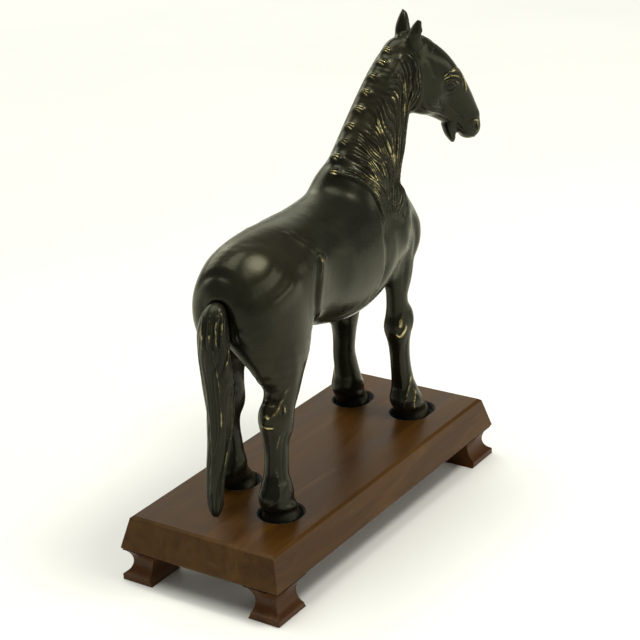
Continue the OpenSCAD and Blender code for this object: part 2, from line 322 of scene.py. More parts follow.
def hooves():
    for x, y, r, long, back in HOOFS.values():
        st = [[x - 0.25 * back, y, -6, r, r + long], [x - 0.25 * back, y, 0.5, r, r + long],
              [x - 0.45 * back, y, 4.5, r - 1.3, r - 0.8 + long * 0.6],
               [x - 0.8 * back, y, 9, r - 2.9, r - 2.2 + long * 0.3],
              [x - back, y, 13, r - 4.6, r - 4]]
        loft(st, 1.6, n=4)
        # coronet: a soft roll where the hair meets the horn
        cut, px, py, pz = block((x - 20, y - 16, 2), (x + 20, y + 16, 18))
        rx, ry = r - 2.4, r - 2.9
        ring_x = x - 0.78 * back
        rho = np.sqrt(((px - ring_x) / rx) ** 2 + ((py - y) / ry) ** 2)
        radial = (rho - 1) * ry
        tilt = 9.6 + (px - ring_x) * -0.16
        d = np.sqrt(radial ** 2 + (pz - tilt) ** 2) - 1.1
        join(cut, d.astype(np.float32), 2.2, False)
    cut, x, y, z = block(LOW, (HIGH[0], HIGH[1], 6))
    field[cut] = np.maximum(field[cut], (-z + 0 * x + 0 * y).astype(np.float32))


def head_and_ears():
    def ball(*form, **more):
        blob(*form, head=True, **more)

    def tube(*form, **more):
        loft(*form, head=True, **more)

    tube(HEAD, 5, n=5)
    for l in (-1, 1):
        ball((19, l * 5.2, 187.5), (11, 5.6, 12), 4, pitch=-35)
        ball((10, l * 6, 197), (8, 5, 11), 5, pitch=-20)
        # brow and eye
        ball((30.5, l * 6.2, 195.6), (7.4, 3.1, 4.3), 2.6, pitch=-42, yaw=-6 * l)
        ball((31.8, l * 9.4, 190.4), (5.0, 2.6, 3.6), 1.6, pitch=-25, cut_away=True)
        ball((31.5, l * 6.7, 190.4), (3.3, 2.7, 2.6), 0.5, pitch=-25)
        # bone of the cheek, and the nostril's wing
        ball((37, l * 4.6, 180.5), (9, 3.0, 3.6), 3.2, pitch=-48)
        ball((48.2, l * 3.9, 165), (4.2, 2.9, 5.2), 2.4, pitch=-30)
        ball((50.3, l * 6.6, 164.6), (1.5, 1.7, 2.6), 0.8, pitch=-35, cut_away=True)
        # hollow of the face between the nose and the jaw
        ball((34, l * 10.6, 177.5), (9, 3.4, 4.6), 4, pitch=-38, cut_away=True)
    # forehead and nose bone, upper lip, chin
    ball((2.5, 0, 213.2), (7, 6.4, 6), 4, pitch=35)
    tube([[16.5, 0, 209.2, 8, 6.5], [27.3, 0, 203.0, 10.4, 7], [36.2, 0, 192.8, 9.8, 6.8],
        [43.6, 0, 181.2, 7.4, 6], [49, 0, 169.8, 6, 5]], 4, n=4)
    ball((49.7, 0, 161.2), (3.9, 5.4, 4.6), 2.5, pitch=-30)
    tube([[34.6, 0, 167, 4.6, 3.4], [35.8, 0, 162, 4.2, 3.1], [37.3, 0, 158.2, 2.9, 2.2],
        [38, 0, 155.6, 1.2, 1.0]], 1.3, n=3, bulge=0.6)
    # mouth, open downwards behind the upper lip
    cx, cy = from_head(41, 0)
    cut, x, y, z = block((cx - 16, cy - 16, 144), (cx + 16, cy + 16, 174))
    s, l = to_head(x, y)
    for (s0, z0, r0), (s1, z1, r1) in (((44.5, 149, 2.6), (41.8, 158.3, 0.8)),
        ((41.8, 158.3, 0.8), (40.6, 160.5, 0.4))):
        t = np.clip(((s - s0) * (s1 - s0) + (z - z0) * (z1 - z0)) / ((s1 - s0) ** 2 + (z1 - z0) ** 2), 0, 1)
        d = np.hypot(s - s0 - (s1 - s0) * t, z - z0 - (z1 - z0) * t) - (r0 + (r1 - r0) * t)
        join(cut, d.astype(np.float32), 0.7, True)
    for side, drop, ahead in ((1, 0.6, 0.0), (-1, -2.4, 1.2)):
        base = [10.6 + ahead * 1.6, 4.6 * side, 214]
        mid = [11.6 + ahead, 6.8 * side, 223.5 + drop * 0.5]
        tip = [12.7 + ahead * 0.4, 8.3 * side, 230.6 + drop]
        st = [base + [3.8, 5.2], [base[0] + 0.4, base[1] + side, 219.0 + drop * 0.25, 4.2, 4.7],
            mid + [4.1, 4.1],
              [12.8 + ahead * 0.8, 7.8 * side, 228.8 + drop * 0.8, 2.4, 2.5],
               [tip[0], tip[1], tip[2] + 0.6, 0.9, 0.9]]
        tube(st, 2.2, n=4)
        # the shell of the ear opens forward
        open_x, open_y = 3.3, 0.9 * side
        inner = [[base[0] + open_x, base[1] + 0.4 * side + open_y, 217.5, 1.0, 1.1],
                 [mid[0] + open_x, mid[1] + open_y, mid[2] - 2.5, 2.4, 2.6],
                 [mid[0] + open_x - 0.2, mid[1] + open_y, mid[2] + 2, 2.0, 2.1],
                 [tip[0] + open_x * 0.7, tip[1] + open_y * 0.7, 229.6 + drop, 0.6, 0.6]]
        tube(inner, 0.7, n=4, cut_away=True)


PLUG = (12.0, 0.0, 8.9)


def belly_hole():
    """The round seat of the founder's plug under the belly."""
    cut, x, y, z = block((PLUG[0] - 14, -14, 66), (PLUG[0] + 14, 14, 86))
    d = np.maximum(np.hypot(x - PLUG[0], y - PLUG[1]) - (PLUG[2] + 0.25), z - 80.5)
    join(cut, d.astype(np.float32), 0.5, True)


# ------------------------------------------------------------------ from the field to a skin
class Skin:
    """A mesh whose vertices are worked on as arrays: co in mm, and wear and darkening as 0..1 marks on each vertex;
    the darkening is dark patina in the hollows and painted shade in a few spots.
    """

    def __init__(self, name, co, faces):
        self.mesh = bpy.data.meshes.new(name)
        self.mesh.from_pydata(co.tolist(), [], faces)
        self.mesh.validate()
        self.read()

    def read(self):
        n = len(self.mesh.vertices)
        self.co = np.empty(n * 3, np.float32)
        self.mesh.vertices.foreach_get("co", self.co)
        self.co = self.co.reshape(-1, 3).astype(float)
        e = np.empty(len(self.mesh.edges) * 2, np.int32)
        self.mesh.edges.foreach_get("vertices", e)
        self.edges = e.reshape(-1, 2)
        self.valence = np.bincount(self.edges.ravel(), minlength=n).astype(float)
        self.wear = np.zeros(n)
        self.dirt_and_shade = np.zeros(n)

    def write(self):
        self.mesh.vertices.foreach_set("co", self.co.astype(np.float32).ravel())
        self.mesh.update()

    def normals(self):
        self.write()
        n = np.empty(len(self.co) * 3, np.float32)
        self.mesh.vertex_normals.foreach_get("vector", n)
        return n.reshape(-1, 3).astype(float)

    def around(self, values):
        """The mean of each vertex's neighbours."""
        a, b = self.edges.T
        n = len(self.co)
        if values.ndim == 1:
            total = np.bincount(a, values[b], n) + np.bincount(b, values[a], n)
            return total / np.maximum(self.valence, 1)
        return np.stack([self.around(values[:, i]) for i in range(values.shape[1])], 1)

    def relax(self, times, amount=0.5, where=None):
        for _ in range(times):
            move = (self.around(self.co) - self.co) * amount
            if where is not None:
                move *= where[:, None]
            self.co += move

    def refine(self, chosen):
        """Splits the faces whose corners are all chosen."""
        self.write()
        bm = bmesh.new()
        bm.from_mesh(self.mesh)
        bm.verts.ensure_lookup_table()
        pick = np.asarray(chosen)
        edges = [e for e in bm.edges if pick[e.verts[0].index] and pick[e.verts[1].index]]
        bmesh.ops.subdivide_edges(bm, edges=edges, cuts=1, use_grid_fill=True)
        bm.to_mesh(self.mesh)
        bm.free()
        self.read()

    def prepare(self):
        """The surface that later marks are laid on."""
        self.normal = self.normals()
        self.tree = kdtree.KDTree(len(self.co))
        for i, p in enumerate(self.co):
            self.tree.insert(p, i)
        self.tree.balance()

    def on_skin(self, points):
        """The line through the points, laid on the skin and smoothed a little."""
        line = catmull(points, 5) if len(points) > 2 else np.array(points, float)
        line = np.array([self.co[self.tree.find(p)[1]] for p in line])
        if len(line) > 4:
            line[1:-1] = (line[:-2] + line[1:-1] * 2 + line[2:]) / 4
        return line

    def near(self, line, reach):
        low, high = line.min(0) - reach, line.max(0) + reach
        idx = np.flatnonzero(np.all((self.co > low) & (self.co < high), 1))
        p = self.co[idx]
        best = np.full(len(idx), 1e9)
        away = np.zeros((len(idx), 3))
        along = np.zeros((len(idx), 3))
        place = np.zeros(len(idx))
        seg = np.linalg.norm(np.diff(line, axis=0), axis=1)
        start = np.concatenate([[0], np.cumsum(seg)])
        for i in range(len(line) - 1):
            ab = line[i + 1] - line[i]
            if seg[i] < 1e-6:
                continue
            t = np.clip((p - line[i]) @ ab / seg[i] ** 2, 0, 1)
            off = p - line[i] - t[:, None] * ab
            d = np.linalg.norm(off, axis=1)
            m = d < best
            best[m], away[m], along[m] = d[m], off[m], ab / seg[i]
            place[m] = (start[i] + t[m] * seg[i]) / start[-1]
        return idx, best, away, along, place

    def stroke(self, points, radius, height, wear=0.0, ends=0.25, dirt_and_shade=0.0):
        """A ridge, or with a negative height a groove, along a line on the skin."""
        idx, d, _, _, t = self.near(self.on_skin(points), radius * 2.6)
        fade = np.clip(np.minimum(t, 1 - t) / max(ends, 1e-3), 0, 1)
        fade = np.sqrt(fade * (2 - fade))
        shape = np.exp(-(d / radius) ** 2) * fade
        self.co[idx] += self.normal[idx] * (shape * height)[:, None]
        if wear:
            self.wear[idx] = np.maximum(self.wear[idx], wear * shape ** 1.5)
        if dirt_and_shade:
            self.dirt_and_shade[idx] = np.maximum(self.dirt_and_shade[idx], dirt_and_shade * shape)

    def strokes(self, rows, place=tuple):
        """Strokes given as radius, height, mark, ends and then points. A mark is wear, or dark patina where
        negative.
        """
        for radius, height, mark, ends, *points in rows:
            self.stroke([place(p) for p in points], radius, height, max(mark, 0), ends, max(-mark, 0))

    def spot(self, place, wide):
        """1 at a place on the skin, fading out over a width."""
        return np.exp(-((self.co - np.array(place)) ** 2 / np.array(wide) ** 2).sum(1))

    def swell(self, points, radius, height):
        """A broad soft rise, or with a negative height a hollow, brushed along a line."""
        line = catmull(points, 6)
        gap = np.linalg.norm(np.diff(line, axis=0),
            axis=1).mean() if len(line) > 1 else radius * math.sqrt(math.pi)
        low, high = line.min(0) - radius * 3, line.max(0) + radius * 3
        idx = np.flatnonzero(np.all((self.co > low) & (self.co < high), 1))
        total = np.zeros(len(idx))
        for p in line:
            total += np.exp(-((self.co[idx] - p) ** 2).sum(1) / radius ** 2)
        self.co[idx] += self.normal[idx] * (total * height * gap / (radius * math.sqrt(math.pi)))[:, None]

    def press(self, place, facing, reach, curve):
        """Turns the skin round a place into a cap of one even curve that faces a given way."""
        facing = np.array(facing, float)
        facing /= np.linalg.norm(facing)
        here = self.co[self.tree.find(place)[1]]
        centre = here - facing * curve
        off = np.linalg.norm(self.co - here, axis=1)
        idx = np.flatnonzero(off < reach)
        w = 1 - smooth_step(off[idx], reach * 0.3, reach)
        gap = np.linalg.norm(self.co[idx] - centre, axis=1) - curve
        self.co[idx] -= facing * (gap * w)[:, None]

    def fold(self, points, up, down, radius, wear=0.0, ends=0.2, wide=3.0):
        """A lip: the skin left of the line stands up, the skin right of it lies deeper."""
        idx, d, away, along, t = self.near(self.on_skin(points), radius * wide)
        n = self.normal[idx]
        s = np.sign(np.einsum("ij,ij->i", np.cross(n, along), away)) * d
        fade = np.clip(np.minimum(t, 1 - t) / max(ends, 1e-3), 0, 1)
        fade = fade * fade * (3 - 2 * fade)
        soft = radius * 0.3
        step = 1 / (1 + np.exp(-np.clip(s / soft, -30, 30)))
        tail = np.exp(-np.maximum(np.abs(s) - soft, 0) / radius) * np.clip((radius * wide - d) / radius,
            0, 1)
        lift = (step * up - (1 - step) * down) * tail * fade
        self.co[idx] += n * lift[:, None]
        edge = np.exp(-((s - soft) / (radius * 0.35)) ** 2) * fade
        if wear:
            self.wear[idx] = np.maximum(self.wear[idx], wear * edge)
        self.dirt_and_shade[idx] = np.maximum(self.dirt_and_shade[idx],
            np.exp(-((s + soft * 1.2) / (radius * 0.4)) ** 2) * fade * 0.8)

    def proud(self):
        """How far each vertex stands out from the skin round it."""
        return np.einsum("ij,ij->i", self.co - self.around(self.around(self.co)), self.normals())

    def finish(self, *piece):
        """Marks hollows dull and edges bright, and makes the piece in metres in the CAD frame."""
        push = self.proud()
        for _ in range(2):
            push = (push + self.around(push)) / 2
        hollow = np.clip(-push / 0.06, 0, 1)
        self.dirt_and_shade = np.clip(np.maximum(self.dirt_and_shade, hollow * 0.9), 0, 1)
        self.wear = np.clip(self.wear + np.clip(push / 0.05 - 0.6, 0, 1) * 0.22, 0, 1)
        co = self.co.copy()
        co[:, 2] += SOLE
        self.mesh.vertices.foreach_set("co", (co / 1000).astype(np.float32).ravel())
        for key, values in (("wear", self.wear), ("dirt_and_shade", self.dirt_and_shade)):
            made = self.mesh.attributes.new(key, "FLOAT", "POINT")
            made.data.foreach_set("value", values.astype(np.float32))
        self.mesh.shade_smooth()
        self.mesh.update()
        name, *rest = piece
        put(name, self.mesh, *rest)


def show(name, data):
    """A new object in the scene."""
    o = bpy.data.objects.new(name, data)
    bpy.context.scene.collection.objects.link(o)
    return o


def coat(mesh, material):
    mesh.materials.clear()
    mesh.materials.append(material)


def put(name, mesh, material, body, node, slot):
    """A piece that rides on a body, stands for a CAD node and is coated with the given material; the slot is not
    used.
    """
    o = show(name, mesh)
    coat(mesh, material)
    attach(o, body)
    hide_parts(node)
    return o


def mesh_from(bm, name):
    mesh = bpy.data.meshes.new(name)
    bm.to_mesh(mesh)
    bm.free()
    return mesh


def skin_from_field(name):
    grid = openvdb.FloatGrid(FAR)
    grid.copyFromArray(field)
    points, triangles, quads = grid.convertToPolygons(0.0, 0.0)
    co = points.astype(float) * STEP + LOW
    faces = quads[:, ::-1].tolist() + triangles[:, ::-1].tolist()
    skin = Skin(name, co, faces)
    # outward normals: the highest point's normal looks up
    if skin.normals()[skin.co[:, 2].argmax(), 2] < 0:
        skin.mesh.flip_normals()
        skin.read()
    return skin


# ------------------------------------------------------------------ mane
# lines that the hair follows on the neck's right side, from the crest to the breast, seen from the side: x,
# z
HAIR = [
    [(86, 219), (88.5, 212), (89.2, 198), (89, 184), (86, 171), (80, 157), (73, 145), (60, 136), (47, 127)],
    [(74, 211.5), (80, 209.5), (83, 204), (82.1, 196), (79.3, 181.9), (76.8, 165.3), (71, 150),
     (58, 139.5), (45.5, 127.5)],
    [(62, 201.5), (68, 199), (71.5, 192), (71, 178), (69.5, 165), (66, 151), (55.5, 139.5), (44.5, 128)],
    [(49.5, 190.5), (52.5, 186.5), (55.9, 179.1), (60, 168.2), (62.1, 158.1), (60.2, 147.4), (52, 138.5),
     (43, 128.5)],
    [(40.5, 181.5), (46, 176), (50.5, 166), (55.2, 153), (53, 144), (47.5, 136), (41.5, 128.7)],
    [(33, 172.5), (38, 167.5), (44.5, 158.3), (49, 147.7), (44.4, 137.7), (39.8, 129)],
    [(25.5, 163), (31, 160.5), (38, 153.5), (42, 145), (41, 136), (38, 128.8)],
    [(20.5, 157.2), (23.5, 158.6), (28.5, 157.5), (33.2, 152.6), (36.8, 146), (37, 139), (37, 134),
     (36.3, 128.3)],
]
KNOTS = [(78.8, -4.2, 214.8), (72.8, -4.4, 209.4), (65.8, -3.1, 202.8), (59.4, -2.2, 195.3),
    (52.8, -1.5, 187.6),
         (46.2, 0.0, 179.5), (40.3, 0.6, 172.3), (33.8, 1.0, 164.9), (28.4, -0.6, 159.0)]
TURN = 1.35
DULL_KNOTS = (2, 6)


def hair_samples(count_q, count_u):
    """Places of the hair pattern: x, z for q across the lines and u along them."""
    lines = []
    q, u = np.linspace(0, 1, count_q), np.linspace(0, 1, count_u)
    for line in HAIR:
        p = catmull(line, 8)
        at = np.concatenate([[0], np.cumsum(np.linalg.norm(np.diff(p, axis=0), axis=1))])
        at /= at[-1]
        lines.append(np.stack([np.interp(u, at, p[:, 0]), np.interp(u, at, p[:, 1])], 1))
    n = len(lines) - 1
    starts = [min(int(v), n - 1) for v in q * n]
    return q, u, np.array([curve_at(lines, k, v - k) for k, v in zip(starts, q * n)])


def scatter(value):
    """A number from 0 to 1 that looks random but is always the same for the same value."""
    value = np.sin(value) * 43758.5453
    return value - np.floor(value)


def comb_mane(skin):
    """Locks and strands of the mane as ridges in the skin, on the neck's right side."""
    qs, us, xz = hair_samples(220, 200)
    tree = kdtree.KDTree(xz.shape[0] * xz.shape[1])
    for i in range(xz.shape[0]):
        for j in range(xz.shape[1]):
            tree.insert((xz[i, j, 0], xz[i, j, 1], 0), i * 1000 + j)
    tree.balance()
    co, n = skin.co, skin.normal
    middle = np.interp(co[:, 2], [120, 157, 177, 195, 212], [0, -1, -2, -4, -5])
    inside = (co[:, 0] > 17) & (co[:, 0] < 95) & (co[:, 2] > 125) & (co[:, 2] < 221)
    idx = np.flatnonzero(inside & (n[:, 1] < 0.25) & (co[:, 1] < middle + 1.5))
    q, u, far = np.zeros((3, len(idx)))
    for k, i in enumerate(idx):
        near = tree.find_n((co[i, 0], co[i, 2], 0), 4)
        w = [1 / (d + 0.02) for _, _, d in near]
        q[k] = sum(a * qs[j // 1000] for a, (_, j, _) in zip(w, near)) / sum(w)
        u[k] = sum(a * us[j % 1000] for a, (_, j, _) in zip(w, near)) / sum(w)
        far[k] = near[0][2]
    on = smooth_step(-far, -1.2, -0.15)
    on *= smooth_step(-n[idx, 1], -0.30, 0.10)
    locks, each_lock = 9, 4
    step_q = np.gradient(xz, axis=0) / (qs[1] - qs[0])
    gap = np.linalg.norm(step_q, axis=2) / (locks * each_lock)
    row, column = ((v * (len(of) - 1)).astype(int) for v, of in ((q, qs), (u, us)))
    width = gap[np.clip(row, 0, len(qs) - 1), np.clip(column, 0, len(us) - 1)]
    warp = 0.016 * np.sin(u * 8 + q * 17) + 0.008 * np.sin(u * 19 - q * 31)
    a = (q + warp) * locks
    lock = a - np.floor(a)
    each = np.floor(a)
    bite = scatter(each * 12.9898)
    lock_shape = lock ** 0.7 * smooth_step(-lock, -1.0, -0.80)
    fine = (q + warp + 0.007 * np.sin(u * 23 + each * 2.1)) * locks * each_lock
    strand = np.abs(np.sin(fine * math.pi)) ** 0.8
    hair = 0.5 + 0.5 * np.cos(fine * math.pi * 6 + 2 * np.sin(u * 13))
    pick = scatter(np.floor(fine) * 78.233)
    size = np.clip(width / 1.1, 0.3, 1.25)
    run = np.linalg.norm(np.diff(xz, axis=1), axis=2).sum(1)
    run = u * np.interp(q, qs, run)
    length = smooth_step(run, 5 + 4 * pick, 9 + 6 * pick) * smooth_step(-u, -1.0, -0.90)
    front = smooth_step(q, 0.0, 0.10)
    body = smooth_step(run, 4, 12) * smooth_step(-u, -1.0, -0.86)
    height = body * on * (0.15 * front + 0.85 * lock_shape * (0.35 + 0.65 * front) * size)
    height += on * length * (0.56 + 0.50 * pick) * (strand - 0.45) * size
    height += on * length * 0.13 * hair * np.clip(width - 0.7, 0, 1)
    deep = on * length * (1 - strand) ** 2 * (0.5 + 0.5 * bite)
    height -= 0.15 * deep * size
    co[idx] += n[idx] * height[:, None]
    skin.dirt_and_shade[idx] = np.maximum(skin.dirt_and_shade[idx], np.clip(deep * 0.8, 0, 1))
    # where the mane is rubbed bright: x, z, reach, strength
    spots = [(56.8, 177.9, 5.2, 0.75), (60.5, 167, 6, 1.0), (62.5, 160, 4.0, 0.8), (54.0, 157, 4.6, 0.85),
        (48.9, 165, 4.5, 0.6), (44.4, 159, 4.0, 0.75), (40.0, 153.5, 4.5, 0.8), (38.5, 148, 3.5, 0.55),
        (84.7, 201.2, 5, 0.9), (83.6, 194, 5, 0.8), (74.5, 199.5, 4.4, 0.7), (69.8, 190.6, 4.4, 0.8),
        (62.2, 181.5, 4, 0.55), (89.4, 206.8, 4, 0.6), (92.5, 203.1, 3, 0.45), (77.8, 194.4, 4.5, 0.7),
        (78.5, 183, 4, 0.6), (50.5, 146, 4, 0.35)]
    top = np.zeros(len(idx))
    for x, z, reach, strength in spots:
        d2 = ((co[idx][:, (0, 2)] - np.array([x, z])) ** 2).sum(1)
        top = np.maximum(top, strength * np.exp(-d2 / reach ** 2))
    shine = top * strand ** 3 * length * (0.4 + 0.6 * (pick > 0.35)) * on * (0.6 + 0.4 * hair)
    shine = shine * 0.95 + 0.15 * strand ** 4 * length * on * (0.4 + 0.6 * bite)
    skin.wear[idx] = np.maximum(skin.wear[idx], np.clip(shine, 0, 1))
    # a long soft roll under the whole mane's lower border
    skin.fold([(20.5, -0.6, 157.5), (23, -3.5, 158.8), (28, -9.2, 157.7), (32.9, -12.6, 152.8),
        (36.9, -16.5, 146.3),
               (37, -22.2, 140), (37.3, -25.8, 134.3), (36.3, -28.1, 128.8)], 0.9, 0.3, 1.5, wear=0.06,
                ends=0.10)


def tie_knots(skin):
    """Nine plaits' knots along the crest, each wound with three turns."""
    for i, (x, y, z) in enumerate(KNOTS):
        a = math.radians(44 if i < 8 else 60)
        up = np.array([math.cos(a), 0, math.sin(a)])
        out = np.array([-math.sin(a) * 0.75, -0.55, math.cos(a) * 0.75])
        across = np.array([0.55 * math.sin(a), -0.75, -0.55 * math.cos(a)])
        for k, lift in ((-1, 0.8), (0, 1.0), (1, 0.75)):
            c = np.array([x, y, z]) + up * (k * TURN)
            skin.stroke([c - across * 2.6 + out * 1.2, c + out * 1.6,
                c + across * 3.2 + out * 0.6 - up * 0.5],
                        0.5, 0.45 * lift, wear=0.4 if i in DULL_KNOTS else 0.8 * lift, ends=0.45)
        for k in (-0.5, 0.5):
            c = np.array([x, y, z]) + up * (k * TURN)
            skin.stroke([c - across * 2.4 + out, c + out * 1.4, c + across * 2.8 + out * 0.4 - up * 0.5],
                        0.35, -0.22, ends=0.4, dirt_and_shade=0.4)


# ------------------------------------------------------------------ marks in the horse's skin
def head_point(s, l, z):
    x, y = from_head(s, l)
    return (x, y, z)


def shape_body(skin):
    """Broad forms: the croup, the hip under it, the loin and the withers."""
    for side in (1, -1):
        def at(*points):
            return [(x + (0 if side > 0 else 8), y if side > 0 else -y - 4, z) for x, y, z in points]

        if side > 0:
            skin.press((-67.8, -17.3, 139.9), (-0.36, -0.60, 0.72), 17, 62)
        skin.swell(at((-34, -20, 142), (-46, -22.5, 140), (-57, -26, 134.5), (-67, -25.5, 130),
            (-76, -20.5, 127.5)), 5.5, -1.2)
        skin.swell(at((-52, -29, 127.5), (-62, -28, 124.5), (-70, -25.5, 120)), 5.5, 1.7)
        skin.swell(at((-82, -13, 124), (-84, -12, 118)), 4.5, 0.5)
    skin.prepare()


# marks on the right side, mirrored for the left: radius, height, mark, ends, points
FLANK = [
    (1.3, 0.45, 0.06, 0.5, (-27.5, -25, 134.8), (-32.6, -19.8, 141.2), (-36.8, -11, 146.8)),
    (1.3, 0.5, 0.06, 0.5, (-25, -24.8, 135), (-29, -18.8, 142), (-33.1, -13.5, 146.4)),
    (1.3, 0.4, 0.06, 0.5, (-20.9, -27.4, 129.5), (-24.1, -23.7, 136.4), (-27, -18.3, 142.2)),
    (1.3, 0.7, 0.75, 0.45, (-26.5, -25.6, 134.2), (-26.2, -26.7, 131.6), (-26.8, -27.6, 128.5))]
BELLY = [
    (2.4, 1.0, 0, 0.35, (31.4, -30.0, 108), (28, -29.0, 101), (22, -27.0, 95), (12, -23.7, 89.5),
     (0, -19.4, 86.5), (-12, -18, 87.5)),
    (1.6, -0.55, 0, 0.3, (29, -26.5, 96.5), (21, -23.5, 90.5), (10, -19.5, 85.5), (-2, -16, 83.8))]
KNEE = [
    # cap, lower lip and side bone
    (1.5, 0.7, 0.55, 0.5, (58.6, -22.4, 70), (57.4, -22.2, 65), (56.9, -21.9, 61.5)),
    (0.9, 0.75, 0.95, 0.3, (60.2, -23.8, 63.6), (58.4, -23.0, 59.6), (56.8, -21.5, 57),
     (55.4, -18.8, 60.5)),
    (1.6, 0.5, 0, 0.4, (64.5, -23.8, 70), (66.5, -23.5, 64), (65.5, -23, 58)),
    (1.8, 0.5, 0, 0.4, (70.5, -19.5, 70), (71.8, -19, 64.5), (70, -19, 58)),
    (0.9, -0.35, 0, 0.2, (61.5, -22.5, 56), (61.8, -21.8, 45), (62.8, -21.5, 33), (63.5, -22, 24)),
    (1.0, 0.4, 0, 0.2, (59.5, -20.5, 55), (59.4, -19.8, 44), (60.3, -19.5, 32), (61.4, -20, 22)),
    # fetlock: an oblique tendon down to the heel
    (0.75, 0.55, 0.42, 0.25, (65.5, -23.4, 31), (64.4, -23.2, 27), (62, -22.5, 20.5), (60.3, -20, 12)),
    (0.9, 0.45, 0.5, 0.3, (66.8, -24, 22), (65.4, -24.8, 14), (65, -24.5, 8.5))]
HOCK = [
    # point, side bone and the cord above it
    (1.1, 0.6, 0.3, 0.3, (-63.5, -27.5, 76), (-66.8, -27.2, 69.5), (-69.7, -26, 65), (-73.7, -24.1, 60.9)),
    (0.8, 0.65, 0.8, 0.25, (-76.6, -18.8, 56.6), (-75.2, -21.8, 55.4), (-72.6, -25, 55.8)),
    (1.2, 0.6, 0.6, 0.4, (-75.8, -21.5, 62.5), (-74.2, -23.8, 60.4)),
    (1.1, 0.45, 0.3, 0.5, (-67, -28.6, 66.5), (-68, -28.4, 61.5)),
    (1.4, -0.5, 0, 0.4, (-71, -26, 70), (-73.6, -22.6, 68)),
    (0.6, 0.45, 0.22, 0.15, (-70.5, -27, 53), (-71.6, -25.2, 44), (-72.2, -24.2, 36.6),
     (-72.8, -25.6, 25.9), (-75.3, -27, 17.5), (-77.8, -24.5, 13.6), (-78.1, -20.9, 12.3)),
    (1.0, -0.4, 0, 0.2, (-67.5, -27.4, 52), (-68.6, -27.2, 42), (-69.4, -26.9, 32), (-70.4, -28, 23)),
    (1.2, 0.35, 0, 0.25, (-62.5, -27.2, 52), (-62.9, -26.6, 42), (-63.6, -26.4, 30))]
THIGH = [
    # buttock groove and the muscle line down the gaskin
    (3.0, -0.5, 0, 0.4, (-84, -13, 104), (-80.5, -20, 98), (-74, -27.5, 90), (-68, -29, 80)),
    (3.0, 0.35, 0, 0.45, (-62, -30.5, 98), (-60, -30, 84), (-61, -28, 72))]
SHOULDER = [
    (3.4, 0.5, 0, 0.4, (47, -26, 136), (52, -28.5, 128), (57, -29.4, 117), (60, -27, 106)),
    (2.6, -0.75, 0, 0.4, (63, -24.5, 132), (69, -27.2, 121), (71, -27, 110), (68.5, -24, 100))]
FOREARM = [
    (1.6, -0.4, 0, 0.4, (61.5, -24.5, 102), (60.5, -23.6, 92), (60, -23, 82)),
    (1.8, 0.4, 0, 0.4, (69, -23.4, 100), (68, -22.8, 90), (67, -22.4, 80))]
THIGH_EDGE = [(-24.5, -25.5, 136), (-26.3, -26.2, 132.5), (-29.9, -28.8, 126.1), (-33.6, -30, 118.5),
    (-34.2, -29.5, 110), (-31.5, -26.6, 103.3), (-27, -21, 96)]
GROOVE = [(38.5, -25.5, 134), (36, -28.5, 127), (34.2, -29.9, 121.8), (33.6, -30.2, 114),
    (33.0, -29.7, 106.2), (28.7, -28.6, 100.4), (20, -25, 93.5)]
# painted shade, darker and also rougher and less glossy, at the foot of the neck and along the inner edge of the
# right thigh: place, width, strength
PAINTED_SHADE = (((22, -14, 148), 13, 0.8), ((-79, -11, 98), 7, 1.0), ((-81, -13, 90), 7, 1.0),
    ((-83, -16, 80), 7, 1.0))


def mark_horse(skin):
    shape_body(skin)
    comb_mane(skin)
    tie_knots(skin)
    line = skin.stroke
    # vertical hair lines down the front of the neck
    for k in range(6):
        d = k * 2.0
        line([(91 - d * 0.5, -11 + k * 0.8, 184 - d), (86 - d * 0.8, -11 + k * 0.6, 168),
            (78 - d * 0.9, -12, 152),
              (72 - d * 1.0, -15, 138), (64 - d, -20, 127)], 0.9, 0.25 if k % 2 else -0.25, ends=0.35)
    for left in (False, True):
        hind, fore = (hind_left, fore_left) if left else (list, list)

        def trunk(p):
            return (p[0], -p[1] if left else p[1], p[2])

        # the thigh's front edge over the belly, and the flank's folds
        edge = [hind(p) for p in THIGH_EDGE]
        if left:
            edge = [(x - 13.5, y, z) for x, y, z in edge[::-1]]
        skin.fold(edge, 1.25, 1.3, 2.9, ends=0.16, wide=4)
        skin.strokes(FLANK, trunk)
        # the barrel's rounded front over the shoulder and elbow
        skin.swell([trunk(p) for p in GROOVE], 2.6, -0.9)
        skin.strokes(BELLY, trunk)
        skin.strokes(KNEE, fore)
        for k in range(4):
            line([fore(p) for p in ((66 + 2.2 * k, -23.6 + 0.5 * k, 20),
                (67.5 + 2.4 * k, -24.6 + 0.8 * k, 12.5))],
                 0.6, -0.28, ends=0.35)
        skin.strokes(HOCK, hind)
        for k in range(4):
            line([hind(p) for p in ((-70 + 2.6 * k, -28.6 + 0.3 * k, 20),
                (-69.6 + 2.9 * k, -29.4 + 0.6 * k, 12))],
                 0.6, -0.28, ends=0.35)
        skin.strokes(THIGH, hind)
        skin.strokes(SHOULDER, trunk)
        skin.strokes(FOREARM, fore)
    # between the fore legs, the small hollow beside the dock, and the seam of the rump
    skin.strokes([(2.6, -1.1, 0, 0.35, (92, 0, 126), (95, 0, 115), (94, 0, 104), (88, 0, 95)),
                  (1.3, -0.9, -0.5, 0.4, (-85.3, -12.1, 113), (-85.2, -12.4, 107), (-82.6, -12.2, 101)),
                  (1.7, 0.55, 0, 0.5, (-82.6, -15, 111), (-82, -15.6, 106.5))])
    # painted shade: these spots darken the bronze's base colour and dull its gloss
    for place, wide, much in PAINTED_SHADE:
        skin.dirt_and_shade = np.maximum(skin.dirt_and_shade, skin.spot(place, wide) * much)
    mark_head(skin)


